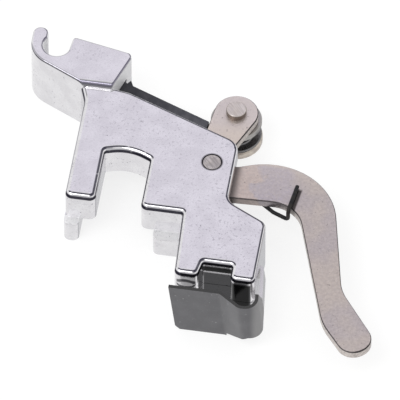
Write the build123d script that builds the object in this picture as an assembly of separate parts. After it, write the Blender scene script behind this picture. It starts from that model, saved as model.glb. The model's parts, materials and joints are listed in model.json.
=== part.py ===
from build123d import *
import os
from math import acos, atan2, cos, degrees, radians, sin, tan

# Presser foot adapter for quick-change feet, lying on its back.
# The origin is on the axis of the clamp-screw notch, in the back plane.
# X runs to the right across the front, Y runs up along the legs, Z rises from the back to the front.
# All lengths are in millimetres and all angles in degrees.

# Heights of the casting above its back plane
PLATE_FRONT = 8.8
BLOCK_PROUD = 1.0
FLANGE_T = 3.6
FRONT_WALL = 2.3
EDGE_R = 0.85
SIDE_EDGE_R = 0.6
BLOCK_EDGE_R = 0.35
BLOCK_STEP_R = 0.8

# Clamp block, with the hooked notch for the presser bar's screw
SCREW_NOTCH_R = 2.0
HOOK_W = 2.28
HOOK_GAP = 1.57
HOOK_TOP = 3.1
HOOK_BEND_R = 4.4
LIP_LEAN = 0.25
LIP_TOP = 2.0
LIP_R = 0.5
BLOCK_TOP_LENGTH = 9.55
BLOCK_TOP_SLOPE = 11.5
BLOCK_SIDE_LEAN = 18.8
BLOCK_CORNER_R = 0.9
BLOCK_BOTTOM = -6.45
BLOCK_HEEL = 4.9
BLOCK_HEEL_SLOPE = 26.3

# Front outline of the casting below the block
LEG_LEFT = 5.6
LEG_W = 4.6
LEG_END = -26.9
NECK_FLARE = 0.9
NECK_FLARE_DROP = 2.35
NECK_FLARE_R = 3.9
U_NOTCH_W = 6.75
U_NOTCH_CROWN = -16.75
U_NOTCH_SPRING = -17.75
U_NOTCH_SKEW = 0.5
STEP_W = 6.3
STEP_END = -27.3
FOOT_W = 12.5
FOOT_END = -38.6
FOOT_TAPER = 0.55
BACK_START_X = 12.0
BACK_START_Y = -6.27
BACK_START_R = 6.0
BACK_SLOPE = 21.4
SHOULDER_W = 6.25
NECK_TOP_R = 2.5
SHOULDER_Y = -24.1
SHOULDER_SLOPE = 27.6
SHOULDER_INNER_R = 2.2
SHOULDER_OUTER_R = 1.5
CORNER_R = 1.0
TIGHT_CORNER_R = 0.3
ROUND_END_SHARE = 0.98

# Notch in the foot for the cross pin of a presser foot, placed from the foot's left side
PIN_NOTCH_X = 4.5
PIN_NOTCH_W = 4.3
PIN_NOTCH_H = 2.6
PIN_NOTCH_FLARE = 0.5

# Back flange: a wider and taller U notch for the presser bar, and ends that reach past the front layer
FLANGE_LEG_SET_BACK = 2.35
FLANGE_STEP_SET_BACK = 2.05
FLANGE_CROWN_RISE = 3.0
FLANGE_LEG_REACH = 1.5
FLANGE_STEP_REACH = 1.75
FLANGE_CORNER_R = 0.9

# Slot for the lever and the stop plate, and the spring pocket behind it
PIVOT_INSET = 3.4
PIVOT_DEPTH = 5.7
SLOT_CLEARANCE = 0.05
SLOT_LEFT = 9.6
SLOT_TOP = -2.2
SLOT_SWING = 2.3
SLOT_DEPTH = 3.4
HUB_ROOM = 4.6
POCKET_R = 4.3
POCKET_FLOOR = 2.3

# Stop plate
STOP_RISE = 2.95
STOP_HORN_H = 1.0
STOP_HORN_W = 0.9
STOP_GAP = 0.12

# Pivot pin
PIVOT_PIN_R = 1.45
PRESS_GAP = 0.02
RUNNING_GAP = 0.05
PIN_EDGE = 0.15

# Lever: ear, hub and handle, placed from the pivot
LEVER_T = 1.35
EAR_X = 1.8
EAR_Y = 11.6
EAR_R = 3.25
EAR_LEFT_LEAN = 8.2
EAR_RIGHT_LEAN = 24.0
CROTCH_R = 1.6
HANDLE_ROOT_SLOPE = 20.0
ELBOW_OUTER_X = 16.85
ELBOW_OUTER_Y = 6.4
ELBOW_OUTER_R = 10.6
ELBOW_INNER_X = 13.4
ELBOW_INNER_Y = -3.95
ELBOW_INNER_R = 5.0
WRIST_OUTER_X = 22.25
WRIST_OUTER_Y = -18.9
WRIST_OUTER_R = 7.0
WRIST_INNER_X = 20.3
WRIST_INNER_Y = -25.3
WRIST_INNER_R = 9.0
TIP_X = 25.3
TIP_Y = -27.4
TIP_R = 2.55
TIP_HEADING = -51.0
HUB_BOTTOM = -4.5
HUB_CORNER_R = 3.0
LEVER_EDGE = 0.12

# Roller on the ear
ROLLER_PIN_R = 1.1
ROLLER_HEAD_R = 1.5
ROLLER_HEAD_H = 0.9
ROLLER_R = 3.8
ROLLER_NECK_R = 2.5
ROLLER_FRONT_FLANGE = 0.9
ROLLER_REAR_FLANGE = 0.4
ROLLER_END_GAP = 0.1
WASHER_R = 3.9
WASHER_T = 1.3
WASHER_LIFT = 0.1
WASHER_EDGE = 0.2

# Torsion spring
WIRE_R = 0.3
COIL_WIRE_SIDES = 12
SPRING_R = 1.95
SPRING_TURNS = 3
SPRING_PITCH = 0.66
SPRING_CATCH_X = 9.9
SPRING_CATCH_Y = -4.75
HOOK_LOW_X = 12.25
HOOK_LOW_Y = -5.75
HOOK_END_X = 12.9
HOOK_END_Y = -0.95
HOOK_LIFT = 0.1
WIRE_BEND_R = 0.55
ANCHOR_LEG = 3.1

# Leaf-spring clip under the foot, placed from the foot's sides and end
CLIP_T = 0.5
CLIP_FRONT = 9.6
CLIP_DROP = 3.4
CLIP_INSET = 0.3
CLIP_FLAT = 7.65
CLIP_SLANT = 1.0
CLIP_CORNER = 0.7
CLIP_CURL_IN = 0.6
CLIP_CURL_R = 1.75
CLIP_CURL_DROP = 2.2
CLIP_RELIEF = 0.5
CLIP_CURL_BACK = 2.7
CLIP_DIP_R = 1.2
CLIP_TAB_FRONT = 5.2
CLIP_TAB_RISE = 5.6
CLIP_TAB_IN = 2.3
CLIP_TAB_TAPER = 2.6
CLIP_BEND_R = 0.6
CLIP_HOOK_R = 0.3
CLIP_SEAT_GAP = 0.05

# Places worked out from the sizes above
BLOCK_FRONT = PLATE_FRONT + BLOCK_PROUD
SLOT_FRONT = PLATE_FRONT - FRONT_WALL
LEVER_FRONT = SLOT_FRONT - SLOT_CLEARANCE
LEVER_BACK = LEVER_FRONT - LEVER_T
SLOT_BACK = LEVER_BACK - SLOT_CLEARANCE
U_LEFT = LEG_LEFT + LEG_W
U_RIGHT = U_LEFT + U_NOTCH_W
FOOT_LEFT = U_RIGHT + STEP_W
FOOT_RIGHT = FOOT_LEFT + FOOT_W
NECK_RIGHT = FOOT_RIGHT - SHOULDER_W
PIN_NOTCH_LEFT = FOOT_LEFT + PIN_NOTCH_X
PIN_NOTCH_RIGHT = PIN_NOTCH_LEFT + PIN_NOTCH_W
PIVOT_X = NECK_RIGHT - PIVOT_INSET
PIVOT_Y = BACK_START_Y - (PIVOT_X - BACK_START_X) * tan(radians(BACK_SLOPE)) - PIVOT_DEPTH
SLOT_BOTTOM = PIVOT_Y + HUB_BOTTOM - SLOT_SWING
EAR_CENTRE = (PIVOT_X + EAR_X, PIVOT_Y + EAR_Y)
CLIP_LEFT = FOOT_LEFT + CLIP_INSET
CLIP_DIP_X = CLIP_LEFT + CLIP_FLAT
CLIP_CURL_X = FOOT_RIGHT - CLIP_CURL_IN
CLIP_TAB_TOP = FOOT_END + CLIP_TAB_RISE
CLIP_TAB_SHIFT = CLIP_SLANT * (1 - CLIP_TAB_FRONT / CLIP_FRONT)
CLIP_TAB_X = FOOT_RIGHT + CLIP_SEAT_GAP + CLIP_T / 2
CLIP_FLAT_Y = FOOT_END - CLIP_DROP
CLIP_RIGHT = CLIP_CURL_X + CLIP_CURL_R + CLIP_SLANT + CLIP_T


def back_y(x):
    """Height of the sloping top edge at x."""
    return BACK_START_Y - (x - BACK_START_X) * tan(radians(BACK_SLOPE))


def outline(corners):
    """Face inside a closed run of (x, y, corner radius)."""
    points = [(x, y) for x, y, _ in corners]
    radii = [radius for _, _, radius in corners]
    return make_face(FilletPolyline(*points, radius=radii, close=True).edges())


def slab(face, low, high):
    """A face drawn on the XY plane, made solid between two heights."""
    return extrude(Pos(0, 0, low) * face, amount=high - low, dir=(0, 0, 1))


def rod(x, y, radius, low, high):
    """Upright round bar between two heights."""
    return Pos(x, y, low) * Cylinder(radius, high - low, align=(Align.CENTER, Align.CENTER, Align.MIN))


def top_edges(solid, height):
    """Edges that lie in the plane at one height."""
    return solid.edges().filter_by_position(Axis.Z, height, height)


def block_right(y):
    """X of the clamp block's leaning right side at height y."""
    top_x = SCREW_NOTCH_R + LIP_LEAN + BLOCK_TOP_LENGTH * cos(radians(BLOCK_TOP_SLOPE))
    top_y = LIP_TOP - BLOCK_TOP_LENGTH * sin(radians(BLOCK_TOP_SLOPE))
    return top_x - (top_y - y) * tan(radians(BLOCK_SIDE_LEAN))


def layer_outline(u_left, u_right, crown_lift, leg_end, step_end, end_r):
    """Outline of one layer of the casting below the block; the layers differ in the U notch and its ends."""
    shoulder_end = SHOULDER_Y - (FOOT_RIGHT - NECK_RIGHT) * tan(radians(SHOULDER_SLOPE))
    root = BLOCK_BOTTOM / 2
    half_u = (u_right - u_left) / 2
    spring = U_NOTCH_SPRING + crown_lift
    crown = U_NOTCH_CROWN + crown_lift
    crown_turn = atan2(crown - spring, half_u) + atan2(crown - spring + U_NOTCH_SKEW, half_u)
    crown_r = (half_u - CORNER_R) / tan(crown_turn / 2)
    root_right = block_right(BLOCK_BOTTOM)
    return outline([
        (LEG_LEFT, root, 0),
        (root_right, root, 0),
        (root_right, BACK_START_Y + BLOCK_EDGE_R, 0),
        (BACK_START_X, BACK_START_Y, BACK_START_R),
        (NECK_RIGHT, back_y(NECK_RIGHT), NECK_TOP_R),
        (NECK_RIGHT, SHOULDER_Y, SHOULDER_INNER_R),
        (FOOT_RIGHT, shoulder_end, SHOULDER_OUTER_R),
        (FOOT_RIGHT, FOOT_END, 0),
        (PIN_NOTCH_RIGHT, FOOT_END, CORNER_R),
        (PIN_NOTCH_RIGHT, FOOT_END + PIN_NOTCH_H, TIGHT_CORNER_R),
        (PIN_NOTCH_LEFT, FOOT_END + PIN_NOTCH_H, TIGHT_CORNER_R),
        (PIN_NOTCH_LEFT - PIN_NOTCH_FLARE, FOOT_END, CORNER_R),
        (FOOT_LEFT + FOOT_TAPER, FOOT_END, CORNER_R),
        (FOOT_LEFT, step_end, TIGHT_CORNER_R),
        (u_right, step_end, end_r),
        (u_right, spring - U_NOTCH_SKEW, TIGHT_CORNER_R),
        (u_left + half_u, crown, crown_r),
        (u_left, spring, TIGHT_CORNER_R),
        (u_left, leg_end, end_r),
        (LEG_LEFT, leg_end, CORNER_R),
        (LEG_LEFT, BLOCK_BOTTOM - NECK_FLARE_DROP, NECK_FLARE_R),
        (LEG_LEFT - NECK_FLARE, BLOCK_BOTTOM + BLOCK_EDGE_R / 2, 0),
    ])


def block_outline():
    """Outline of the clamp block, with the open screw notch cut into its top."""
    hook_left = -HOOK_GAP - HOOK_W
    tip_r = ROUND_END_SHARE * HOOK_W / 2
    lip_x = SCREW_NOTCH_R + LIP_LEAN
    corner_y = LIP_TOP - BLOCK_TOP_LENGTH * sin(radians(BLOCK_TOP_SLOPE))
    heel_y = BLOCK_BOTTOM + (BLOCK_HEEL - hook_left) * tan(radians(BLOCK_HEEL_SLOPE))
    block = outline([
        (hook_left, HOOK_TOP, tip_r),
        (-HOOK_GAP, HOOK_TOP, tip_r),
        (-HOOK_GAP, 0, 0),
        (SCREW_NOTCH_R, 0, 0),
        (lip_x, LIP_TOP, LIP_R),
        (block_right(corner_y), corner_y, BLOCK_CORNER_R),
        (block_right(BLOCK_BOTTOM), BLOCK_BOTTOM, 0),
        (BLOCK_HEEL, BLOCK_BOTTOM, 0),
        (hook_left, heel_y, HOOK_BEND_R),
    ])
    return block - Circle(SCREW_NOTCH_R)


def slot_outline():
    """Region of the slot in the casting's thickness, open along the top edge and the right side."""
    hub_left = PIVOT_X - HUB_ROOM
    return outline([
        (SLOT_LEFT, SLOT_TOP, 0),
        (FOOT_RIGHT, SLOT_TOP, 0),
        (FOOT_RIGHT, SLOT_BOTTOM, 0),
        (hub_left, SLOT_BOTTOM, TIGHT_CORNER_R),
        (hub_left, back_y(hub_left) - SLOT_DEPTH, TIGHT_CORNER_R),
        (SLOT_LEFT, back_y(SLOT_LEFT) - SLOT_DEPTH, TIGHT_CORNER_R),
    ])


def round_front(plate):
    """Rounds the plate's front edges clear of the block, finer along the back, neck and right side."""
    root_right = block_right(BLOCK_BOTTOM)
    fall = (BLOCK_BOTTOM - FOOT_END) / (FOOT_RIGHT - root_right)

    def clear(edge):
        middle = edge.center()
        return middle.X > root_right + TIGHT_CORNER_R or middle.Y < BLOCK_BOTTOM

    def on_back(edge):
        middle = edge.center()
        return middle.Y > BLOCK_BOTTOM - (middle.X - root_right) * fall

    back = top_edges(plate, PLATE_FRONT).filter_by(clear).filter_by(on_back)
    plate = fillet(back, SIDE_EDGE_R)
    below = top_edges(plate, PLATE_FRONT).filter_by(clear).filter_by(on_back, reverse=True)
    return fillet(below, EDGE_R)


def make_body_casting():
    """Front layer, back flange and clamp block, less the slot, spring pocket, pin bore and clip seat."""
    front = slab(layer_outline(U_LEFT, U_RIGHT, 0, LEG_END, STEP_END, CORNER_R), FLANGE_T, PLATE_FRONT)
    front = round_front(front)
    flange = slab(
        layer_outline(
            U_LEFT - FLANGE_LEG_SET_BACK, U_RIGHT + FLANGE_STEP_SET_BACK, FLANGE_CROWN_RISE,
            LEG_END - FLANGE_LEG_REACH, STEP_END - FLANGE_STEP_REACH, FLANGE_CORNER_R,
        ),
        0, FLANGE_T,
    )
    block = slab(block_outline(), 0, BLOCK_FRONT)
    block = fillet(top_edges(block, BLOCK_FRONT).sort_by(Axis.Y)[0], BLOCK_STEP_R)
    block = fillet(top_edges(block, BLOCK_FRONT), BLOCK_EDGE_R)
    pocket = Pos(PIVOT_X, PIVOT_Y) * Circle(POCKET_R)
    pocket += outline([
        (PIVOT_X, PIVOT_Y + POCKET_R, 0),
        (FOOT_RIGHT, PIVOT_Y + POCKET_R, 0),
        (FOOT_RIGHT, SLOT_BOTTOM, 0),
        (PIVOT_X, SLOT_BOTTOM, 0),
    ])
    body = front + flange + block
    body -= slab(slot_outline(), SLOT_BACK, SLOT_FRONT)
    body -= slab(pocket, POCKET_FLOOR, SLOT_BACK)
    body -= rod(PIVOT_X, PIVOT_Y, PIVOT_PIN_R + PRESS_GAP, 0, PLATE_FRONT)
    body -= clip_seat()
    return body


def make_stop_plate():
    """Plate that fills the slot left of the lever, with its right edge beside the resting ear."""
    lean = radians(EAR_LEFT_LEAN)
    tangent_x = EAR_CENTRE[0] - (EAR_R + STOP_GAP) * cos(lean)
    tangent_y = EAR_CENTRE[1] + (EAR_R + STOP_GAP) * sin(lean)
    hub_left = PIVOT_X - HUB_ROOM + SLOT_CLEARANCE
    floor = SLOT_DEPTH - SLOT_CLEARANCE / cos(radians(BACK_SLOPE))

    def edge_x(y):
        return tangent_x - (tangent_y - y) * tan(lean)

    left = SLOT_LEFT + SLOT_CLEARANCE
    horn = BACK_START_X
    top_right_y = back_y(edge_x(EAR_CENTRE[1])) + STOP_RISE
    bottom = back_y(hub_left) - floor
    face = outline([
        (left, back_y(left) + STOP_RISE, 0),
        (horn - STOP_HORN_W, back_y(horn - STOP_HORN_W) + STOP_RISE, 0),
        (horn - STOP_HORN_W / 2, back_y(horn) + STOP_RISE + STOP_HORN_H, 0),
        (horn, back_y(horn) + STOP_RISE, 0),
        (edge_x(top_right_y), top_right_y, 0),
        (edge_x(bottom), bottom, 0),
        (hub_left, bottom, TIGHT_CORNER_R),
        (left, back_y(left) - floor, TIGHT_CORNER_R),
    ])
    return slab(face, LEVER_BACK, LEVER_FRONT)


def make_pivot_pin():
    pin = rod(PIVOT_X, PIVOT_Y, PIVOT_PIN_R, 0, PLATE_FRONT)
    return chamfer(pin.edges(), PIN_EDGE)


def lever_outline():
    """Bell crank: round ear above the pivot, curved handle to its right."""
    left_lean = radians(EAR_LEFT_LEAN)
    right_lean = radians(EAR_RIGHT_LEAN)
    ear_x, ear_y = EAR_CENTRE
    left = (ear_x - EAR_R * cos(left_lean), ear_y + EAR_R * sin(left_lean))
    right = (ear_x + EAR_R * cos(right_lean), ear_y - EAR_R * sin(right_lean))
    elbow = (PIVOT_X + ELBOW_OUTER_X, PIVOT_Y + ELBOW_OUTER_Y)
    root_slope = tan(radians(HANDLE_ROOT_SLOPE))
    fall = right[1] - elbow[1] + root_slope * (elbow[0] - right[0])
    drop = fall / (1 - root_slope * tan(right_lean))
    crotch = (right[0] - drop * tan(right_lean), right[1] - drop)
    hub_bottom = PIVOT_Y + HUB_BOTTOM
    hub_left = left[0] - (left[1] - hub_bottom) * tan(left_lean)
    heading = Vector(cos(radians(TIP_HEADING)), sin(radians(TIP_HEADING)))
    across = Vector(-heading.Y, heading.X)
    tip = Vector(PIVOT_X + TIP_X, PIVOT_Y + TIP_Y)
    tip_outer = tip + (heading + across) * TIP_R
    tip_inner = tip + (heading - across) * TIP_R
    end_r = ROUND_END_SHARE * TIP_R
    arms = outline([
        (*left, 0),
        (*right, 0),
        (*crotch, CROTCH_R),
        (*elbow, ELBOW_OUTER_R),
        (PIVOT_X + WRIST_OUTER_X, PIVOT_Y + WRIST_OUTER_Y, WRIST_OUTER_R),
        (tip_outer.X, tip_outer.Y, end_r),
        (tip_inner.X, tip_inner.Y, end_r),
        (PIVOT_X + WRIST_INNER_X, PIVOT_Y + WRIST_INNER_Y, WRIST_INNER_R),
        (PIVOT_X + ELBOW_INNER_X, PIVOT_Y + ELBOW_INNER_Y, ELBOW_INNER_R),
        (hub_left, hub_bottom, HUB_CORNER_R),
    ])
    return arms + Pos(*EAR_CENTRE) * Circle(EAR_R)


def make_lever():
    lever = slab(lever_outline(), LEVER_BACK, LEVER_FRONT)
    lever = chamfer(top_edges(lever, LEVER_FRONT), LEVER_EDGE)
    lever -= rod(PIVOT_X, PIVOT_Y, PIVOT_PIN_R + RUNNING_GAP, LEVER_BACK, LEVER_FRONT)
    lever -= rod(*EAR_CENTRE, ROLLER_PIN_R + PRESS_GAP, LEVER_BACK, LEVER_FRONT)
    return lever


def make_roller_pin():
    head_top = LEVER_FRONT + ROLLER_HEAD_H
    head = rod(*EAR_CENTRE, ROLLER_HEAD_R, LEVER_FRONT, head_top)
    head = chamfer(top_edges(head, head_top), PIN_EDGE)
    return head + rod(*EAR_CENTRE, ROLLER_PIN_R, WASHER_LIFT, LEVER_FRONT)


def make_roller():
    low = WASHER_LIFT + WASHER_T + ROLLER_END_GAP
    high = LEVER_BACK - ROLLER_END_GAP
    profile = outline([
        (ROLLER_PIN_R + RUNNING_GAP, low, 0),
        (ROLLER_R, low, 0),
        (ROLLER_R, low + ROLLER_REAR_FLANGE, 0),
        (ROLLER_NECK_R, low + ROLLER_REAR_FLANGE, 0),
        (ROLLER_NECK_R, high - ROLLER_FRONT_FLANGE, 0),
        (ROLLER_R, high - ROLLER_FRONT_FLANGE, 0),
        (ROLLER_R, high, 0),
        (ROLLER_PIN_R + RUNNING_GAP, high, 0),
    ])
    roller = Pos(*EAR_CENTRE) * revolve(Plane.XZ * profile, Axis.Z)
    rims = roller.edges().filter_by(GeomType.CIRCLE)
    rims = rims.filter_by(lambda rim: rim.radius > ROLLER_NECK_R - PIN_EDGE)
    return chamfer(rims, PIN_EDGE)


def make_roller_washer():
    top = WASHER_LIFT + WASHER_T
    washer = rod(*EAR_CENTRE, WASHER_R, WASHER_LIFT, top)
    washer = chamfer(washer.edges().filter_by(GeomType.CIRCLE), WASHER_EDGE)
    return washer - rod(*EAR_CENTRE, ROLLER_PIN_R + PRESS_GAP, WASHER_LIFT, top)


def wire_along(path, section):
    """Wire of one section along an open path."""
    return sweep(Plane(path @ 0, z_dir=path % 0) * section, path=path)


def make_torsion_spring():
    """Left-hand coil on the pivot pin; the upper end runs out behind the handle and hooks over its front.

    The coil's wire has flat sides, which keeps its helical faces light; the arm and the leg are round.
    """
    top = LEVER_BACK - SLOT_CLEARANCE - WIRE_R
    base = top - SPRING_TURNS * SPRING_PITCH
    reach = (SPRING_CATCH_X ** 2 + SPRING_CATCH_Y ** 2) ** 0.5
    leave = atan2(SPRING_CATCH_Y, SPRING_CATCH_X) + acos(SPRING_R / reach)
    coil_path = Helix(SPRING_PITCH, SPRING_TURNS * SPRING_PITCH, SPRING_R, lefthand=True)
    coil_path = Pos(PIVOT_X, PIVOT_Y, base) * Rot(0, 0, degrees(leave)) * coil_path
    start = (PIVOT_X + SPRING_R * cos(leave), PIVOT_Y + SPRING_R * sin(leave))
    over = LEVER_FRONT + HOOK_LIFT + WIRE_R
    arm_path = FilletPolyline(
        (*start, top),
        (PIVOT_X + SPRING_CATCH_X, PIVOT_Y + SPRING_CATCH_Y, top),
        (PIVOT_X + HOOK_LOW_X, PIVOT_Y + HOOK_LOW_Y, top),
        (PIVOT_X + HOOK_LOW_X, PIVOT_Y + HOOK_LOW_Y, over),
        (PIVOT_X + HOOK_END_X, PIVOT_Y + HOOK_END_Y, over),
        radius=[WIRE_BEND_R] * 3,
    )
    anchor_path = Line(
        (*start, base),
        (start[0] - ANCHOR_LEG * sin(leave), start[1] + ANCHOR_LEG * cos(leave), base),
    )
    spring = wire_along(coil_path.edge(), RegularPolygon(WIRE_R, COIL_WIRE_SIDES))
    spring += wire_along(arm_path, Circle(WIRE_R))
    spring += wire_along(anchor_path, Circle(WIRE_R))
    for height in (base, top):
        spring += Pos(*start, height) * Sphere(WIRE_R)
    return spring


def clip_path():
    """Centre line of the clip's front edge: flat under the foot, curl at the corner, up the side, hook."""
    curl_y = CLIP_FLAT_Y - CLIP_CURL_DROP
    side_x = CLIP_TAB_X - CLIP_TAB_SHIFT
    return FilletPolyline(
        (CLIP_LEFT, CLIP_FLAT_Y),
        (CLIP_DIP_X, CLIP_FLAT_Y),
        (CLIP_CURL_X - CLIP_CURL_R / 2, curl_y),
        (CLIP_CURL_X + CLIP_CURL_R, curl_y),
        (side_x, CLIP_TAB_TOP),
        (side_x - CLIP_TAB_IN, CLIP_TAB_TOP),
        radius=[CLIP_DIP_R, CLIP_DIP_R, CLIP_CURL_R, CLIP_HOOK_R],
    )


def make_foot_clip():
    """Strip bent along its path, leaning to the right towards the back, with its hook cut narrower."""
    strip = make_face(clip_path().offset_2d(CLIP_T / 2, side=Side.BOTH).edges())
    lean = Vector(CLIP_SLANT, 0, -CLIP_FRONT)
    clip = extrude(Pos(0, 0, CLIP_FRONT) * strip, amount=lean.length, dir=lean)
    relief_x = CLIP_DIP_X + CLIP_SLANT
    low = CLIP_FLAT_Y - CLIP_CURL_DROP - CLIP_T
    left_end = outline([
        (CLIP_LEFT - CLIP_T, CLIP_FRONT, 0),
        (CLIP_LEFT, CLIP_FRONT, 0),
        (CLIP_LEFT + CLIP_SLANT, CLIP_CORNER, CLIP_CORNER),
        (CLIP_LEFT + CLIP_SLANT + CLIP_CORNER, 0, 0),
        (CLIP_LEFT - CLIP_T, 0, 0),
    ])
    clip -= extrude(Plane.XZ.offset(-low) * left_end, amount=low - CLIP_FLAT_Y - CLIP_T)
    relief = outline([
        (relief_x, -CLIP_T, 0),
        (CLIP_RIGHT, -CLIP_T, 0),
        (CLIP_RIGHT, CLIP_CURL_BACK, 0),
        (FOOT_RIGHT, CLIP_CURL_BACK, CLIP_BEND_R),
        (relief_x, CLIP_RELIEF, 0),
    ])
    clip -= extrude(Plane.XZ.offset(-low) * relief, amount=low - CLIP_TAB_TOP + CLIP_T)
    hook_end = CLIP_TAB_X - CLIP_TAB_IN - CLIP_SLANT
    hook_back = outline([
        (hook_end, -CLIP_T, 0),
        (CLIP_RIGHT, -CLIP_T, 0),
        (CLIP_RIGHT, CLIP_CURL_BACK, 0),
        (hook_end, CLIP_CURL_BACK, 0),
    ])
    clip -= extrude(Plane.XZ.offset(CLIP_T - CLIP_TAB_TOP) * hook_back, amount=-2 * CLIP_T)
    tab = outline([
        (CLIP_FLAT_Y + CLIP_T, CLIP_FRONT, 0),
        (CLIP_FLAT_Y + CLIP_T + CLIP_TAB_TAPER, CLIP_TAB_FRONT, CLIP_BEND_R),
        (CLIP_TAB_TOP + CLIP_T, CLIP_TAB_FRONT, 0),
        (CLIP_TAB_TOP + CLIP_T, CLIP_FRONT, 0),
    ])
    return clip - extrude(Plane.YZ.offset(hook_end) * tab, amount=CLIP_RIGHT - hook_end)


def clip_seat():
    """Slot in the foot's right side that takes the clip's hooked end."""
    half = CLIP_T / 2 + CLIP_SEAT_GAP
    end = CLIP_TAB_X - CLIP_TAB_IN - half
    return Pos(end, CLIP_TAB_TOP - half, CLIP_CURL_BACK - CLIP_SEAT_GAP) * Box(
        CLIP_TAB_X - end, 2 * half, CLIP_TAB_FRONT - CLIP_CURL_BACK + 2 * CLIP_SEAT_GAP,
        align=(Align.MIN, Align.MIN, Align.MIN),
    )


PIECES = {
    "body_casting": make_body_casting,
    "stop_plate": make_stop_plate,
    "pivot_pin": make_pivot_pin,
    "lever": make_lever,
    "roller_pin": make_roller_pin,
    "roller": make_roller,
    "roller_washer": make_roller_washer,
    "torsion_spring": make_torsion_spring,
    "foot_clip": make_foot_clip,
}

os.makedirs("parts", exist_ok=True)
for name, make in PIECES.items():
    piece = make()
    export_step(piece, f"parts/{name}.step")
    print(f"{name}: {piece.volume:.1f} mm3")
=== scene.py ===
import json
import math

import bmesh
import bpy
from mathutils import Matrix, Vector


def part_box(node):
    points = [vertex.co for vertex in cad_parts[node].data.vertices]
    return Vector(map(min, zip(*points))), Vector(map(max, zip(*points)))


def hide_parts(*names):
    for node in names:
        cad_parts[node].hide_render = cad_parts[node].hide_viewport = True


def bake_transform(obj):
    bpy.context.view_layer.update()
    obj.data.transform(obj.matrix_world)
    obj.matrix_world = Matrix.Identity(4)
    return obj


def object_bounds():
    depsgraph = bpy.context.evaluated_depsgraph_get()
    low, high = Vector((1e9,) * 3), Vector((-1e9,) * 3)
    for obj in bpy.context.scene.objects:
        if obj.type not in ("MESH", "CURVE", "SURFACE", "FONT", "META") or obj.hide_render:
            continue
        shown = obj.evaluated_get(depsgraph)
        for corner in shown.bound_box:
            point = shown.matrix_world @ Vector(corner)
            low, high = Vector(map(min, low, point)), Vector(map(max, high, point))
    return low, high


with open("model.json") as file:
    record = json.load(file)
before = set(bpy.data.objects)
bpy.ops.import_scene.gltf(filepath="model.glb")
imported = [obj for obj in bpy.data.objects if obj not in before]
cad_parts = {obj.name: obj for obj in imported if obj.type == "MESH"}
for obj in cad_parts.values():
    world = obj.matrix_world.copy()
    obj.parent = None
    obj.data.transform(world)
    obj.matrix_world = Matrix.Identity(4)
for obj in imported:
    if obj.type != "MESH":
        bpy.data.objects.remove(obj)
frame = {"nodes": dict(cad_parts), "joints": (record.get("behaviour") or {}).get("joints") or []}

# %% [markdown]
# A presser foot adapter: a bright plated casting that clamps to a sewing machine's presser bar, with a
# stamped release lever, a small roller on the lever's ear, a wire spring and a dark leaf clip below the
# foot. The solid pieces come from the CAD frame. This lesson gives them their finishes, winds the spring as
# a smooth wire and sets up the photograph's view and light. Places on the part are in the frame's own
# millimetres: x runs to the right, y up the part and z out of its front face.

MM = 0.001
nodes = frame["nodes"]
packed_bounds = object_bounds()
print("CAD pieces:", sorted(nodes))

# %% [markdown]
# The picture looks down on the front face from a little right of centre. Parallel edges hardly
# converge, so a long lens from far off is closer to it than a normal lens near by. The two angles give the
# direction back to the camera, and the aim is the point of the front plane at the picture's centre.

# %% Camera
AZIMUTH = math.radians(9.1)
ELEVATION = math.radians(51.7)
AIM = Vector((25.6, -25.6, 9.8)) * MM
DISTANCE = 2450 * MM
LENS = 1500
SENSOR = 36
CLIP_START = 10 * MM
back = Vector((
    math.sin(AZIMUTH) * math.cos(ELEVATION),
    -math.cos(AZIMUTH) * math.cos(ELEVATION),
    math.sin(ELEVATION),
))
bpy.ops.object.select_all(action="DESELECT")
bpy.ops.object.camera_add(location=AIM + back * DISTANCE)
camera = bpy.context.object
camera.rotation_euler = (-back).to_track_quat("-Z", "Y").to_euler()
camera.data.lens = LENS
camera.data.sensor_width = SENSOR
camera.data.clip_start = CLIP_START
bpy.context.scene.camera = camera
print("camera at", [round(v, 4) for v in camera.location])

# %% [markdown]
# Every finish below is a sum of masks and noise. Wiring each Math node by hand would hide the sums, so
# sockets get Python's operators, and one method makes any other node from its type, its settings and its
# sockets. A mask is a soft step of a position, a slope or a noise. Noise is turned first and drawn out
# afterwards, so that scratches can run at any angle.

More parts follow.
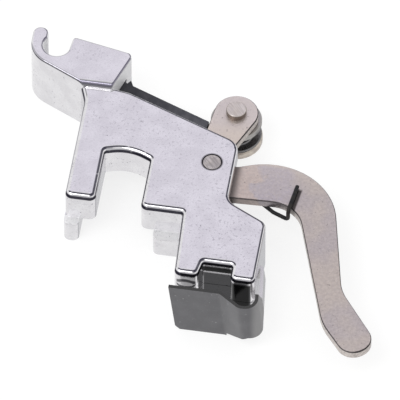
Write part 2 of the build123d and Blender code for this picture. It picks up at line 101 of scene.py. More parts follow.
# %% Shader sums
class Wire:
    """One socket of a node tree that takes part in sums."""

    def __init__(self, tree, socket=None):
        self.tree = tree
        self.socket = socket

    def node(self, kind, settings=None, sockets=None, output=0):
        made = self.tree.nodes.new("ShaderNode" + kind)
        for name, value in (settings or {}).items():
            setattr(made, name, value)
        for name, value in (sockets or {}).items():
            if isinstance(value, Wire):
                self.tree.links.new(value.socket, made.inputs[name])
            else:
                made.inputs[name].default_value = value
        return Wire(self.tree, made.outputs[output])

    def math(self, operation, first, second):
        return self.node("Math", {"operation": operation}, {0: first, 1: second})

    def __add__(self, other):
        return self.math("ADD", self, other)

    def __sub__(self, other):
        return self.math("SUBTRACT", self, other)

    def __mul__(self, other):
        return self.math("MULTIPLY", self, other)

    def __rsub__(self, other):
        return self.math("SUBTRACT", other, self)

    __radd__ = __add__
    __rmul__ = __mul__

    def step(self, low, high):
        """0 below low, 1 above high and smooth between."""
        return self.node("MapRange", {"interpolation_type": "SMOOTHSTEP"}, {0: self, 1: low, 2: high})

    def fade(self, low, high):
        """1 below low, 0 above high and smooth between."""
        return 1 - self.step(low, high)

    def band(self, start, end):
        """1 between two soft borders, each given as the place where it begins and where it is over."""
        return self.step(*start) * self.fade(*end)

    def mix(self, low, high):
        """The colour low where this mask is 0, high where it is 1."""
        return self.node("Mix", {"data_type": "RGBA"}, {0: self, 6: low, 7: high}, output=2)

    def axis(self, name):
        """One coordinate of this position."""
        return self.node("SeparateXYZ", None, {"Vector": self}, output=name)

    def noise(self, scale, detail=2.0, stretch=(1, 1, 1), turn=(0, 0, 0)):
        """Noise with scale features to the millimetre, drawn out by stretch along turned axes."""
        drawn = [1 / share for share in stretch]
        sockets = {"Vector": self, "Rotation": turn, "Scale": drawn}
        placed = self.node("Mapping", {"vector_type": "TEXTURE"}, sockets)
        return self.node("TexNoise", None, {"Vector": placed, "Scale": scale, "Detail": detail})


print("wires can", ", ".join(name for name in vars(Wire) if not name.startswith("_")))

# %% [markdown]
# A finish starts as a material with its position in millimetres, so a noise scale reads as features to
# the millimetre. Object coordinates keep a pattern on its piece when the lever swings. Colours go on in
# coats, as grime lies on plate and plate on steel, so each coat is one mask and one colour. The same masks
# drive the roughness and the relief, so a pit is dark, dull and deep in the same place.

# %% Finishes
def rgb(red, green, blue):
    return (red, green, blue, 1.0)


def start_finish(name):
    """A new material with its shader and its position in millimetres."""
    material = bpy.data.materials.new(name)
    material.use_nodes = True
    tree = material.node_tree
    root = Wire(tree)
    place = root.node("TexCoord", output="Object")
    scaled = root.node("VectorMath", {"operation": "SCALE"}, {"Vector": place, "Scale": 1 / MM})
    return material, tree.nodes["Principled BSDF"], scaled


def slopes(place):
    """The surface's lean to the right, its lean up the part and its share of level."""
    return [place.node("TexCoord", output="Normal").axis(name) for name in "XYZ"]


def coated(colour, *coats):
    """Lays coats over a colour, each a mask and the coat's own colour."""
    for mask, coat in coats:
        colour = mask.mix(colour, coat)
    return colour


def bumped(height, strength, distance_mm):
    """Normal of a relief: height 0 to 1 stands for the given depth."""
    sockets = {"Strength": strength, "Distance": distance_mm * MM, "Height": height}
    return height.node("Bump", None, sockets)


def feed(shader, **values):
    """Links wires to a shader's sockets or sets numbers there, with underscores for spaces."""
    for name, value in values.items():
        socket = shader.inputs[name.replace("_", " ")]
        if isinstance(value, Wire):
            value.tree.links.new(value.socket, socket)
        else:
            socket.default_value = value


def dress(material, *pieces):
    """Gives pieces this one material."""
    for piece in pieces:
        piece.data.materials.clear()
        piece.data.materials.append(material)
    count = len(material.node_tree.nodes)
    print(material.name, "of", count, "nodes on", ", ".join(piece.name for piece in pieces))


print("a finish can be started, coated, bumped, fed and put on")

# %% [markdown]
# The body is die cast and plated bright. Plating follows the skin of the casting, so it shows a faint
# mottle, a fine grain, flecks that gather to the right and small dark pits. A plain metal would look like
# glass here, so each of these is a noise of its own size. The walls show fewer flecks than the face that is
# handled, so the flecks fade with the slope.

# %% Skin of the casting
FLECKED = (4, 34)
plated, shader, place = start_finish("plated_casting")
across, along, up = (place.axis(name) for name in "XYZ")
slope_x, slope_y, level = slopes(place)
mottle = place.noise(0.35, 3).step(0.35, 0.68)
grain = place.noise(5.5, 3).step(0.30, 0.72)
crowded = place.noise(0.14, 2).step(0.38, 0.62) * 0.6 + across.step(*FLECKED) * 0.4
flecks = place.noise(2.5, 5).step(0.55, 0.67) * (0.20 + crowded * 0.80)
flecks = flecks * (0.35 + level.step(0.3, 0.7) * 0.65)
pits = place.noise(2.3, 3).step(0.66, 0.73) * place.noise(0.5, 1).step(0.40, 0.58)
print("skin of the casting in", len(plated.node_tree.nodes), "nodes")

# %% [markdown]
# A thin dark line along each rounded edge of the front is a painted reflection of the dark room. Such lines
# could be painted along curves, but one slope follows a rounded edge all the way round, so each line here is
# a span of slopes, in degrees from the level, on the edges that face one way. The painted lines are broken by
# a noise and thinner on the block, whose own edges have a broader grey and violet painted reflection.

# %% Painted reflections along the edges
INNER_LINE = (5, 30)
OUTER_LINE = (50, 89)
RIGHT_LINE = (8, 42)
LEFT_LINE = (44, 80)
BACK_LINE = (3, 27)
BLOCK_LOW_LINE = (5, 66)
BLOCK_RIGHT_LINE = (12, 50)
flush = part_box("pivot_pin")[1].z / MM


def tilted(degrees):
    """1 where the surface leans from the level by an angle between the two, with soft ends."""
    high, low = (math.cos(math.radians(angle)) for angle in degrees)
    soft = (high - low) / 5
    return level.band((low, low + soft), (high - soft, high))


down = slope_y.fade(-0.16, -0.08)
behind = slope_y.step(0.03, 0.10)
right = slope_x.step(0.10, 0.20)
left = slope_x.fade(-0.30, -0.15)
on_block = up.step(flush + 0.1, flush + 0.3)
# painted reflection: dark lines along the front's rounded edges, chosen by slope
painted_edge_reflections = tilted(INNER_LINE) * down + tilted(OUTER_LINE) * down + tilted(RIGHT_LINE) * right
painted_edge_reflections = painted_edge_reflections + tilted(LEFT_LINE) * left * 0.65 + tilted(BACK_LINE) * behind
painted_edge_reflections = painted_edge_reflections * place.noise(1.6, 3).step(0.15, 0.40) * (1 - on_block * 0.55)
# painted reflection: a grey and violet band on the block's own rounded edges
painted_block_reflection = tilted(BLOCK_LOW_LINE) * down * (1 - left * 0.45) + tilted(BLOCK_RIGHT_LINE) * right
painted_block_reflection = painted_block_reflection * on_block
print("front plate ends and block begins at z", round(flush, 2))

# %% [markdown]
# The foot's notch is the seat of a cross pin. Its inside is darkened to near black by painted shade, with a
# pale band across its top, and the hollow to the right of it lies in painted shade too. Polishing has domed
# the end of the left lobe a little, so it shows the room as bowed dark lines. A flat end can't bend a
# reflection like that, so three bowed lines are painted on it as painted reflections, and it is made less of
# a mirror.

# %% Foot of the casting
SEAT_LEFT = (27.6, 27.9)
SEAT_RIGHT = (35.1, 35.3)
SEAT_TOP = (-36.0, -35.9)
SEAT_FRONT = (7.4, 7.9)
NOTCH_TOP = (-36.15, -36.05)
RIM_LOW = (6.20, 6.28)
RIM_HIGH = (6.52, 6.60)
RIM_SHADE = (6.60, 6.68)
NOOK_LEFT = (32.1, 32.4)
NOOK_RIGHT = (34.8, 35.1)
NOOK_FRONT = (7.2, 7.6)
LOBE_FRONT = (7.7, 7.9)
LOBE_MIDDLE = 25.5
foot_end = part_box("body_casting")[0].y / MM
end_wall = along.fade(foot_end + 0.1, foot_end + 0.3)
# painted shade: the inside of the notch goes near black
shaded_seat = across.band(SEAT_LEFT, SEAT_RIGHT) * along.fade(*SEAT_TOP) * up.fade(*SEAT_FRONT)
notch_top = shaded_seat * along.step(*NOTCH_TOP)
rim = notch_top * up.band(RIM_LOW, RIM_HIGH)
nook = end_wall * across.band(NOOK_LEFT, NOOK_RIGHT) * up.fade(*NOOK_FRONT)
nook = nook + notch_top * up.step(*RIM_SHADE)
lobe = end_wall * across.fade(*SEAT_LEFT) * up.fade(*LOBE_FRONT)
bow = (across - LOBE_MIDDLE) * (across - LOBE_MIDDLE)


def painted_reflection_line(height, curve, width):
    """Painted reflection: a thin bowed line across the left lobe's end, given its height in the middle, its
    bow and its width.
    """
    above = up - bow * curve - height
    return lobe * above.band((-width, -width / 2), (width / 2, width))


# painted reflections: three bowed dark lines on the left lobe's end
painted_lobe_reflections = (
    painted_reflection_line(height=6.95, curve=-0.20, width=0.44)
    + painted_reflection_line(height=5.45, curve=0.26, width=0.30)
    + painted_reflection_line(height=4.60, curve=0.24, width=0.50)
)
print("end of the foot at y", round(foot_end, 2))

# %% [markdown]
# The polishing wheel doesn't reach the narrow ledges of the flange behind or the block's right side, so
# they are pale and dull. A ring of oil stands round the pivot. All coats go on in order, the metal first and
# the oil, painted shade and painted reflections last; the roughness and the relief take the same masks.

# %% Plated casting
LEDGE_LOW = (3.50, 3.57)
LEDGE_HIGH = (3.63, 3.70)
LEDGE_TOP = (-26.7, -26.5)
BLOCK_BOTTOM = (-6.95, -6.45)
OIL_RING = (1.5, 1.75)
pivot = next(Vector(joint["pos_m"]) for joint in frame["joints"] if joint["name"] == "lever_pivot")
pivot_front = Vector((pivot.x / MM, pivot.y / MM, flush))
ledge = up.band(LEDGE_LOW, LEDGE_HIGH) * along.fade(*LEDGE_TOP)
block_side = slope_x.step(0.6, 0.8) * along.step(*BLOCK_BOTTOM)
from_pivot = place.node(
    "VectorMath", {"operation": "DISTANCE"}, {0: place, 1: pivot_front}, output="Value"
)
oil = from_pivot.fade(*OIL_RING)
skin = coated(
    mottle.mix(rgb(0.715, 0.705, 0.725), rgb(0.795, 0.787, 0.805)),
    (ledge, rgb(0.90, 0.90, 0.905)),
    (grain * 0.18, rgb(0.56, 0.55, 0.58)),
    (flecks * 0.62, rgb(0.43, 0.415, 0.45)),
    (pits * 0.8, rgb(0.24, 0.225, 0.26)),
    (block_side * 0.8, rgb(0.93, 0.93, 0.94)),
    # painted reflection: grey and violet band on the block's edges
    (painted_block_reflection * 0.9, rgb(0.22, 0.205, 0.27)),
    # painted reflection: dark lines along the front's rounded edges
    (painted_edge_reflections * 0.94, rgb(0.050, 0.047, 0.070)),
    (oil * 0.85, rgb(0.06, 0.055, 0.065)),
    # painted shade in the notch and in the hollow to its right
    (shaded_seat * 0.95, rgb(0.028, 0.028, 0.030)),
    (nook * 0.9, rgb(0.010, 0.010, 0.010)),
    (rim * 0.9, rgb(0.70, 0.69, 0.71)),
    # painted reflections on the left lobe's end
    (painted_lobe_reflections * 0.9, rgb(0.030, 0.028, 0.036)),
)
feed(
    shader,
    Base_Color=skin,
    Metallic=1 - lobe * 0.75 - rim * 0.8 - block_side * 0.7,
    Roughness=0.12 + mottle * 0.03 + flecks * 0.10 + pits * 0.25 + ledge * 0.55 + block_side * 0.35,
    Normal=bumped(grain * 0.10 + mottle * 0.4 - flecks * 0.25 - pits * 0.8, 0.35, 0.02),
)
dress(plated, nodes["body_casting"])

# %% [markdown]
# The lever is blanked from sheet and nickel plated without polish: a warm grey with a fine tumbled
# grain, soft blotches and few dark specks. Near the slot the plate has a straw tint and then a lilac one,
# and the foot of the ear is straw too. A straight border between tints would look printed, so a broad noise
# makes it wander. The slot's mouth throws a shade on the root of the handle.

# %% Tints of the lever
HANDLE_TOP = (-15.5, -14.5)
EAR = (-20, -6)
EAR_STRAW_TOP = (-10.5, -7)
STRAW_END = (32.9, 33.9)
LILAC_END = (36.1, 39.1)
MOUTH = (29.5, 30.8)
WAVE = 9
nickel, shader, place = start_finish("nickel_stamping")
across, along, up = (place.axis(name) for name in "XYZ")
patch = place.noise(0.16, 2).step(0.36, 0.64)
grain = place.noise(4.6, 4).step(0.28, 0.72)
blotch = place.noise(2.0, 3).step(0.40, 0.62)
specks = place.noise(2.9, 2).step(0.655, 0.74)
ear = along.step(*EAR)
handle = along.fade(*HANDLE_TOP)
ear_straw = (1 - handle) * along.fade(*EAR_STRAW_TOP)
wavy = across + (place.noise(0.33, 3) - 0.5) * WAVE
straw = handle * wavy.fade(*STRAW_END)
lilac = handle * (1 - straw) * wavy.fade(*LILAC_END)
mouth = handle * across.fade(*MOUTH)
print("tints of the lever in", len(nickel.node_tree.nodes), "nodes")

# %% [markdown]
# The spring's hook lies across the handle and casts a dark shadow along its right side, which is painted on
# as painted shadow. It is a strip beside a straight wire, so two sums turn a position into how far it lies
# beside the hook and how far on along it. The spring itself comes later and takes the hook's two ends from
# here.

# %% Painted shadow beside the wire
HOOK_LOW = Vector((12.25, -5.75, 0)) * MM
HOOK_END = Vector((12.9, -0.95, 0)) * MM
HOOK_SHADOW_LEFT = (-0.3, 0.0)
HOOK_SHADOW_RIGHT = (0.70, 0.95)
HOOK_SHADOW_END = (4.3, 4.8)
reach = (HOOK_END - HOOK_LOW).normalized()
hook_foot = (pivot + HOOK_LOW) / MM
beside = (across - hook_foot.x) * reach.y - (along - hook_foot.y) * reach.x
onward = (across - hook_foot.x) * reach.x + (along - hook_foot.y) * reach.y
# painted shadow of the hook on the handle's front
painted_hook_shadow = beside.band(HOOK_SHADOW_LEFT, HOOK_SHADOW_RIGHT) * onward.fade(*HOOK_SHADOW_END)
print("hook of", round((HOOK_END - HOOK_LOW).length / MM, 2), "mm across the handle")

# %% [markdown]
# The press shears the first part of a wall and tears the rest, so the cut walls are pale, matte and
# ragged, with painted shade on them where the handle leaves the casting. A dark line is drawn along the
# broken front edge. All this goes by the height in the sheet's thickness. On the edges that face right the
# line is a little broader, so a slope widens it there.

# %% Cut walls of the lever
lever_low, lever_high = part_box("lever")
sheet_back, sheet_front = lever_low.z / MM, lever_high.z / MM
EDGE_LOW = (sheet_front - 0.27, sheet_front - 0.22)
EDGE_HIGH = (sheet_front - 0.03, sheet_front - 0.01)
WALL_BACK = (sheet_back + 0.01, sheet_back + 0.04)
WALL_SHADE_END = (37, 41)
slope_x, _, level = slopes(place)
under_edge = up.step(*EDGE_LOW)
line = under_edge * up.fade(*EDGE_HIGH)
right_edge = under_edge * slope_x.step(0.12, 0.25) * level.fade(0.955, 0.985)
wall = up.step(*WALL_BACK) * (1 - under_edge)
# painted shade on the cut wall where the handle leaves the casting
painted_shade_wall = wall * handle * across.fade(*WALL_SHADE_END)
bare_wall = wall - painted_shade_wall
torn = place.noise(3.2, 3).step(0.42, 0.62)
print("sheet of", round(sheet_front - sheet_back, 2), "mm")

# %% [markdown]
# With its masks ready, the lever is coated like the casting: tints first, then grain and specks, then
# the painted shade at the mouth and the painted shadow of the hook, and the cut walls last. The torn wall is
# half matte, because broken steel scatters light and doesn't mirror it.

# %% Nickel stamping
metal = coated(
    patch.mix(rgb(0.435, 0.392, 0.400), rgb(0.515, 0.455, 0.408)),
    (straw * 0.75, rgb(0.570, 0.465, 0.410)),
    (lilac * 0.75, rgb(0.440, 0.405, 0.460)),
    (grain * 0.55, rgb(0.62, 0.565, 0.535)),
    (blotch * 0.30, rgb(0.37, 0.325, 0.315)),
    (ear * 0.5, rgb(0.75, 0.685, 0.66)),
    (ear_straw * 0.6, rgb(0.67, 0.59, 0.51)),
    (specks * 0.6, rgb(0.17, 0.15, 0.15)),
    (mouth * 0.85, rgb(0.09, 0.078, 0.075)),
    # painted shadow of the hook
    (painted_hook_shadow * 0.9, rgb(0.035, 0.030, 0.028)),
    (bare_wall * 0.8, rgb(0.62, 0.565, 0.535)),
    (bare_wall * torn * 0.6, rgb(0.33, 0.295, 0.275)),
    # painted shade on the cut wall near the casting
    (painted_shade_wall * 0.25, rgb(0.27, 0.245, 0.235)),
    (line * 0.9, rgb(0.07, 0.062, 0.065)),
    (right_edge * 0.9, rgb(0.05, 0.044, 0.046)),
)
feed(
    shader,
    Base_Color=metal,
    Metallic=1 - bare_wall * 0.7,
    Roughness=0.34 + grain * 0.12,
    Normal=bumped(grain - specks, 0.55, 0.016),
)
dress(nickel, nodes["lever"])

# %% [markdown]
# The washer behind the roller is the same plate on a turned ring, a little warmer and worn by the
# roller's rubbing. The wear leaves it between metal and matte, so its Metallic stays half way.

# %% Roller washer
ring_nickel, shader, place = start_finish("nickel_washer")
wear = place.noise(0.9, 3).step(0.40, 0.65)
metal = wear.mix(rgb(0.60, 0.535, 0.465), rgb(0.47, 0.415, 0.37))
feed(shader, Base_Color=metal, Metallic=0.45, Roughness=0.30 + wear * 0.12)
dress(ring_nickel, nodes["roller_washer"])

# %% [markdown]
# Pins are turned and then ground flush, which leaves parallel scratches across their ends. Noise drawn
# out along a turned axis gives such lines without any image. The pivot's end is worn grey in patches with
# dirt on its broken edge, and the head of the roller pin is brighter, with a dark brown side. Both
# pins share one steel, so the height tells them apart.

# %% Pin steel
SCRATCH_STRETCH = (1, 0.09, 1)
SCRATCH_TURN = (0, 0, math.radians(40))
head_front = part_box("roller_pin")[1].z / MM
DIRT_LOW = (flush - 0.19, flush - 0.15)
DIRT_HIGH = (flush - 0.04, flush - 0.01)
SIDE_LOW = (sheet_front - 0.1, sheet_front)
SIDE_HIGH = (head_front - 0.12, head_front - 0.05)
pin_steel, shader, place = start_finish("pin_steel")
scratches = place.noise(5.0, 3, SCRATCH_STRETCH, SCRATCH_TURN).step(0.40, 0.60)
stain = place.noise(0.7, 2).step(0.45, 0.75)
worn = place.noise(1.1, 3).step(0.42, 0.60)
up = place.axis("Z")
on_pivot = up.step(head_front, flush)
steel = coated(
    scratches.mix(rgb(0.38, 0.352, 0.340), rgb(0.58, 0.545, 0.525)),
    (0.42 - on_pivot * 0.42, rgb(0.76, 0.69, 0.65)),
    (stain * 0.35, rgb(0.45, 0.39, 0.35)),
    (worn * on_pivot * 0.45, rgb(0.28, 0.265, 0.265)),
    (up.band(SIDE_LOW, SIDE_HIGH) * 0.9, rgb(0.14, 0.108, 0.092)),
    (up.band(DIRT_LOW, DIRT_HIGH) * 0.92, rgb(0.04, 0.036, 0.04)),
)
feed(
    shader,
    Base_Color=steel,
    Metallic=1.0,
    Roughness=0.34 + stain * 0.12,
    Normal=bumped(scratches, 0.15, 0.012),
)
dress(pin_steel, nodes["pivot_pin"], nodes["roller_pin"])

# %% [markdown]
# The roller is hardened and left dark from the heat, then polished in the lathe, most of all on its
# front half. Its fine rings run round its axis. They could be a wave texture about that axis, but they follow
# the height alone, so noise drawn out very far sideways gives them with less care for the centre.

# %% Dark roller steel
RING_STRETCH = (0.02, 0.02, 1)
POLISHED = (2.6, 3.4)
dark, shader, place = start_finish("dark_steel")
rings = place.noise(9.0, 2, RING_STRETCH).step(0.35, 0.65)
haze = place.noise(0.8, 3).step(0.4, 0.7)
polished = place.axis("Z").step(*POLISHED)
tone = coated(
    rings.mix(rgb(0.13, 0.13, 0.135), rgb(0.20, 0.195, 0.195)),
    (haze * 0.3, rgb(0.26, 0.25, 0.24)),
    (polished * 0.6, rgb(0.46, 0.44, 0.42)),
)
feed(
    shader,
    Base_Color=tone,
    Metallic=1.0,
    Roughness=0.20 + haze * 0.10,
    Normal=bumped(rings, 0.2, 0.006),
)
dress(dark, nodes["roller"])

# %% [markdown]
# The leaf clip is spring steel with a dark phosphate coat: nearly black and matte, with small bright
# nicks. Its cut front edge is blacker still, the right side of its curl is lighter grey as a painted
# highlight, and beside the foot, where the leaf slides on the casting, the coat is rubbed through to bright
# steel. A coat over metal isn't a metal to look at, so Metallic follows the rubbed place alone.

# %% Phosphated clip
RUBBED = (-39.4, -38.4)
CURL_SIDE = (35.8, 37.0)
clip_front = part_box("foot_clip")[1].z / MM
CUT_EDGE = (clip_front - 0.06, clip_front - 0.02)
coat, shader, place = start_finish("phosphated_spring_steel")
cloud = place.noise(0.45, 3).step(0.35, 0.7)
grain = place.noise(6.0, 3).step(0.3, 0.7)
nicks = place.noise(2.4, 2).step(0.70, 0.75)
# painted highlight: the right side of the curl is lighter
painted_sheen_side = place.axis("X").step(*CURL_SIDE)
rubbed = place.axis("Y").step(*RUBBED)
cut_edge = place.axis("Z").step(*CUT_EDGE)
tone = coated(
    cloud.mix(rgb(0.102, 0.101, 0.107), rgb(0.120, 0.119, 0.126)),
    (grain * 0.20, rgb(0.070, 0.070, 0.075)),
    (nicks * 0.8, rgb(0.32, 0.315, 0.315)),
    # painted highlight on the right side of the curl
    (painted_sheen_side * 0.7, rgb(0.27, 0.265, 0.265)),
    (cut_edge * 0.9, rgb(0.010, 0.010, 0.010)),
    (rubbed * 0.95, rgb(0.66, 0.65, 0.65)),
)
feed(
    shader,
    Base_Color=tone,
    Metallic=rubbed,
    Roughness=0.38 + grain * 0.05 - rubbed * 0.18 + cut_edge * 0.3,
    Specular_IOR_Level=0.6,
    Normal=bumped(grain, 0.12, 0.008),
)
dress(coat, nodes["foot_clip"])

# %% [markdown]
# The stop plate is blackened steel with a dull oil film, a little bluer and flatter than the clip. It
# runs in under the block, where less light comes, so it darkens towards that end.

# %% Black steel
stop_left, stop_right = (v.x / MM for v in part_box("stop_plate"))
black, shader, place = start_finish("black_steel")
cloud = place.noise(0.6, 3).step(0.35, 0.7)
grain = place.noise(5.0, 3).step(0.3, 0.7)
shaded = place.axis("X").fade(stop_left, stop_right)
tone = coated(
    cloud.mix(rgb(0.080, 0.081, 0.092), rgb(0.125, 0.124, 0.135)),
    (shaded * 0.7, rgb(0.030, 0.030, 0.034)),
)
feed(
    shader,
    Base_Color=tone,
    Metallic=1.0,
    Roughness=0.40 + grain * 0.12,
    Normal=bumped(grain, 0.3, 0.01),
)
dress(black, nodes["stop_plate"])

# %% [markdown]
# The return spring is one length of round music wire: a coil on the pivot, a long arm that runs out
# behind the handle and a hook over the handle's front. A curve with a round bevel would be quicker, but here
# the wire is modelled as it is wound: a circle turned about the pin by a Screw modifier. The arm leaves the
# coil along a tangent, so the circle is first turned to where that tangent starts. With no window, the
# rotate operator turns the other way, so that angle is given with its sign changed.

# %% Coil of the spring
WIRE_R = 0.3 * MM
COIL_R = 1.95 * MM
TURNS = 3
PITCH = 0.66 * MM
WIRE_SIDES = 20
COIL_STEPS = 56
CLEARANCE = 0.05 * MM
CATCH = Vector((9.9, -4.75, 0)) * MM
leave = math.atan2(CATCH.y, CATCH.x) + math.acos(COIL_R / CATCH.length)
axis_top = Vector((pivot.x, pivot.y, lever_low.z - CLEARANCE - WIRE_R))
axis_base = axis_top - Vector((0, 0, TURNS * PITCH))
bpy.ops.object.select_all(action="DESELECT")
bpy.ops.mesh.primitive_circle_add(vertices=WIRE_SIDES, radius=WIRE_R, location=axis_base)
spring = bpy.context.object
spring.name = "return_spring"
bpy.ops.object.mode_set(mode="EDIT")
bpy.ops.mesh.select_all(action="SELECT")
bpy.ops.transform.rotate(value=math.pi / 2, orient_axis="X", center_override=axis_base)
bpy.ops.transform.translate(value=(COIL_R, 0, 0))
bpy.ops.transform.rotate(value=-leave, orient_axis="Z", center_override=axis_base)
bpy.ops.object.mode_set(mode="OBJECT")
bpy.ops.object.modifier_add(type="SCREW")
winding = spring.modifiers[-1]
winding.angle = -math.tau
winding.screw_offset = PITCH
winding.iterations = TURNS
winding.steps = COIL_STEPS
bpy.ops.object.modifier_apply(modifier=winding.name)
print("coil of", TURNS, "turns,", len(spring.data.vertices), "points")

# %% [markdown]
# Each end of the coil is then drawn out, straight by extruding its open loop and round each bend by
# spinning it about the bend's centre, as a wire bender does. The loop is found by its place, because only
# it lies at the end of the wire and is open. The last loop is closed and its rim chamfered, as on cut wire.

# %% Bending the wire
BEND_R = 0.55 * MM
BEND_STEPS = 8
END_CHAMFER = 0.07 * MM
CHAMFER_STEPS = 2
LOOP_REACH = 1.05 * WIRE_R


def pick_end(point):
    """Selects the open end loop of the wire round a point."""
    bpy.ops.mesh.select_mode(type="VERT")
    bpy.ops.mesh.select_all(action="DESELECT")
    mesh = bmesh.from_edit_mesh(spring.data)
    for vertex in mesh.verts:
        distance = (spring.matrix_world @ vertex.co - point).length
        vertex.select_set(vertex.is_boundary and distance < LOOP_REACH)
    mesh.select_flush(True)
    bmesh.update_edit_mesh(spring.data)


def draw_out(corners):
    """Draws the picked end from corner to corner, bends it at each and closes it with a chamfer."""
    pick_end(corners[0])
    here = corners[0]
    heading = (corners[1] - here).normalized()
    for corner, following in zip(corners[1:], corners[2:]):
        leaving = (following - corner).normalized()
        angle = heading.angle(leaving)
        axis = heading.cross(leaving).normalized()
        bend_start = corner - heading * BEND_R * math.tan(angle / 2)
        bpy.ops.mesh.extrude_region_move(TRANSFORM_OT_translate={"value": bend_start - here})
        centre = bend_start + axis.cross(heading) * BEND_R
        bpy.ops.mesh.spin(steps=BEND_STEPS, angle=-angle, center=centre, axis=axis)
        here = corner + leaving * BEND_R * math.tan(angle / 2)
        heading = leaving
    bpy.ops.mesh.extrude_region_move(TRANSFORM_OT_translate={"value": corners[-1] - here})
    bpy.ops.mesh.edge_face_add()
    bpy.ops.mesh.bevel(offset=END_CHAMFER, segments=CHAMFER_STEPS, affect="EDGES")


print("bends of", round(BEND_R / MM, 2), "mm radius in", BEND_STEPS, "steps")

# %% [markdown]
# The upper end runs behind the handle, rises past its inner edge and lies across its front, so the
# handle is pulled back when it is let go. The lower end is the short leg that bears on the casting. The coil
# stays with the body while the arm goes with the lever, and the piece takes the place of the CAD's own
# spring.

# %% Arm and leg of the spring
LEG = 3.1 * MM
HOOK_LIFT = 0.1 * MM
MERGE = 0.001 * MM
SMOOTH_BELOW = math.radians(40)
outward = Vector((math.cos(leave), math.sin(leave), 0))
forward = Vector((math.sin(leave), -math.cos(leave), 0))
rise = Vector((0, 0, lever_high.z + HOOK_LIFT + WIRE_R - axis_top.z))
arm = [
    axis_top + outward * COIL_R,
    axis_top + CATCH,
    axis_top + HOOK_LOW,
    axis_top + HOOK_LOW + rise,
    axis_top + HOOK_END + rise,
]
leg_start = axis_base + outward * COIL_R
bpy.ops.object.mode_set(mode="EDIT")
draw_out(arm)
draw_out([leg_start, leg_start - forward * LEG])
bpy.ops.mesh.select_all(action="SELECT")
bpy.ops.mesh.remove_doubles(threshold=MERGE)
bpy.ops.mesh.normals_make_consistent(inside=False)
bpy.ops.object.mode_set(mode="OBJECT")
bpy.ops.object.transform_apply(location=True, rotation=True, scale=True)
bpy.ops.object.shade_smooth_by_angle(angle=SMOOTH_BELOW)
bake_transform(spring)
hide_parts("torsion_spring")
span = (spring.bound_box[0], spring.bound_box[6])
print("spring spans", [[round(c / MM, 2) for c in corner] for corner in span])

# %% [markdown]
# Music wire keeps a black drawn skin. It hardly shines, and has a dull brown bloom in places. It is the
# darkest piece of the part, so its reflection is turned down as well as its colour.

# %% Spring wire
wire_skin, shader, place = start_finish("spring_wire")
bloom = place.noise(0.9, 3).step(0.45, 0.7)
drawn = place.noise(8.0, 2).step(0.35, 0.65)
feed(
    shader,
    Base_Color=bloom.mix(rgb(0.012, 0.012, 0.014), rgb(0.030, 0.026, 0.024)),
    Roughness=0.34 + drawn * 0.12,
    Specular_IOR_Level=0.15,
    Normal=bumped(drawn, 0.2, 0.006),
)
dress(wire_skin, spring)

# %% [markdown]
# The table is a plain white sweep, wide enough to fill every view. A white surface under lamps shows a
# deep shadow, and the picture's is hardly there, so the paper glows by itself and takes only a part of its
# white from the light. Reflections don't see it, because the boards below stand in for it there.

# %% Floor
FLOOR_GAP = 0.02 * MM
FLOOR_SIZE = 6
CENTRE = Vector((22, -18, 5)) * MM
WHITE = rgb(1.0, 1.0, 1.0)
ground_level = packed_bounds[0].z - FLOOR_GAP
bpy.ops.object.select_all(action="DESELECT")
bpy.ops.mesh.primitive_plane_add(size=FLOOR_SIZE, location=(CENTRE.x, CENTRE.y, ground_level))
floor = bpy.context.object
floor.name = "floor"
floor.visible_glossy = False
paper, shader, _ = start_finish("white_paper")
feed(
    shader,
    Base_Color=rgb(0.24, 0.24, 0.24),
    Roughness=1.0,
    Specular_IOR_Level=0.0,
    Emission_Color=WHITE,
    Emission_Strength=0.78,
)
dress(paper, floor)

# %% [markdown]
# A bright part is mostly a picture of what stands round it, so boards that only reflections see do the
# drawing, as they do in a studio: a faintly violet one behind fills the front face, a grey one in front
# shades the edges below, and level sheets well under the part keep its walls pale. Lamps could light real
# boards, but a board that glows evenly needs no lamp and casts no shadow. Boards are measured in metres.

# %% Boards
BOARD_FAR = 0.9
SHEET_DROP = 0.2
SHEET_STEP = 0.01
ROOM = rgb(0.42, 0.42, 0.435)
VIOLET = rgb(0.90, 0.875, 0.955)
GREY = rgb(0.6, 0.6, 0.615)


def only_reflected(board, tone):
    """Gives a board one tone and shows it in reflections alone."""
    material = bpy.data.materials.new(board.name)
    material.use_nodes = True
    tree = material.node_tree
    tree.nodes.remove(tree.nodes["Principled BSDF"])
    glow = Wire(tree).node("Emission", None, {"Color": tone, "Strength": 1.0})
    tree.links.new(glow.socket, tree.nodes["Material Output"].inputs["Surface"])
    board.data.materials.append(material)
    board.visible_camera = False
    board.visible_diffuse = False
    board.visible_shadow = False
    board.visible_transmission = False


def add_board(name, size, tone, location, turn=(0, 0, 0)):
    """A flat board of a width and a height, level unless it is turned."""
    bpy.ops.mesh.primitive_plane_add(size=1, location=location, rotation=turn)
    board = bpy.context.object
    board.name = name
    board.scale = (*size, 1)
    only_reflected(board, tone)


def hang_board(name, size, tone, direction, far):
    """A board that faces the object from a direction."""
    toward = Vector(direction).normalized()
    turn = (-toward).to_track_quat("Z", "Y").to_euler()
    add_board(name, size, tone, CENTRE + toward * far, turn)


hang_board("front_board", (1.6, 0.5), GREY, direction=(0, -0.88, 0.47), far=BOARD_FAR)
hang_board("back_board", (0.9, 0.62), VIOLET, direction=(-0.10, 0.66, 0.74), far=BOARD_FAR + 0.1)
add_board("low_sheet", (0.46, 0.42), WHITE, location=(0.02, 0.0, -SHEET_DROP))
add_board("low_side", (0.42, 0.42), GREY, location=(0.24, 0.24, -SHEET_DROP + SHEET_STEP))
add_board("low_room", (3.0, 1.7), ROOM, location=(0.02, -0.65, -SHEET_DROP - SHEET_STEP))
print("boards at", BOARD_FAR, "m and sheets", SHEET_DROP, "m below")

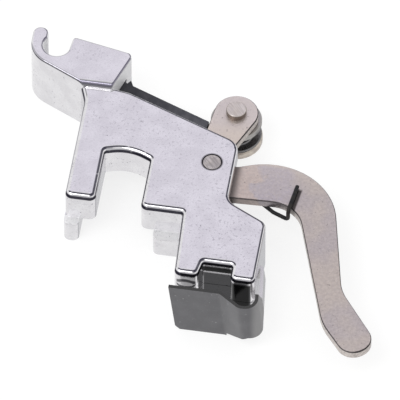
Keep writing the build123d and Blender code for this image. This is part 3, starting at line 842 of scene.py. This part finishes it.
# %% [markdown]
# A grey room at the horizon gives the rounded edges their shape. It stands only in front, where a
# photographer's dark studio is, so a tube round the part is cut across and its back half removed.

# %% Horizon
HORIZON_SIDES = 64
CUT_FORWARD = 0.1 * BOARD_FAR
bpy.ops.mesh.primitive_cylinder_add(
    end_fill_type="NOTHING",
    radius=BOARD_FAR,
    depth=SHEET_DROP * 2,
    location=(CENTRE.x, CENTRE.y, 0),
    vertices=HORIZON_SIDES,
)
horizon = bpy.context.object
horizon.name = "horizon_board"
bpy.ops.object.mode_set(mode="EDIT")
bpy.ops.mesh.select_all(action="SELECT")
bpy.ops.mesh.bisect(
    plane_co=(CENTRE.x, CENTRE.y - CUT_FORWARD, 0), plane_no=(0, 1, 0), clear_outer=True
)
bpy.ops.object.mode_set(mode="OBJECT")
only_reflected(horizon, ROOM)
print("horizon of", len(horizon.data.polygons), "faces")

# %% [markdown]
# The light is soft: a white tent all round and one broad lamp up on the left, which gives the faint
# shadow its direction. The tent is a little dimmer for the light it sheds than for what the camera and the
# reflections see, so that the background stays pure white and the part isn't washed out.

# %% Lamp and tent
TENT = 0.9
KEY_WATTS = 2.4
KEY_SIZE = 0.5
KEY_WAY = Vector((-0.38, -0.42, 0.82)).normalized()
bpy.ops.object.light_add(type="AREA", location=CENTRE + KEY_WAY * BOARD_FAR)
key = bpy.context.object
key.rotation_euler = (-KEY_WAY).to_track_quat("-Z", "Y").to_euler()
key.data.size = KEY_SIZE
key.data.energy = KEY_WATTS

world = bpy.data.worlds.new("white_tent")
world.use_nodes = True
sky = Wire(world.node_tree)
rays = ("Is Camera Ray", "Is Glossy Ray", "Is Transmission Ray")
is_seen = sum(sky.node("LightPath", output=name) for name in rays)
ground = world.node_tree.nodes["Background"]
feed(ground, Color=WHITE, Strength=TENT + is_seen * (1 - TENT))
bpy.context.scene.world = world
bpy.context.scene.view_settings.view_transform = "Standard"
print("lamp of", KEY_WATTS, "W at", [round(v, 2) for v in key.location], "and a white tent")

# %% [markdown]
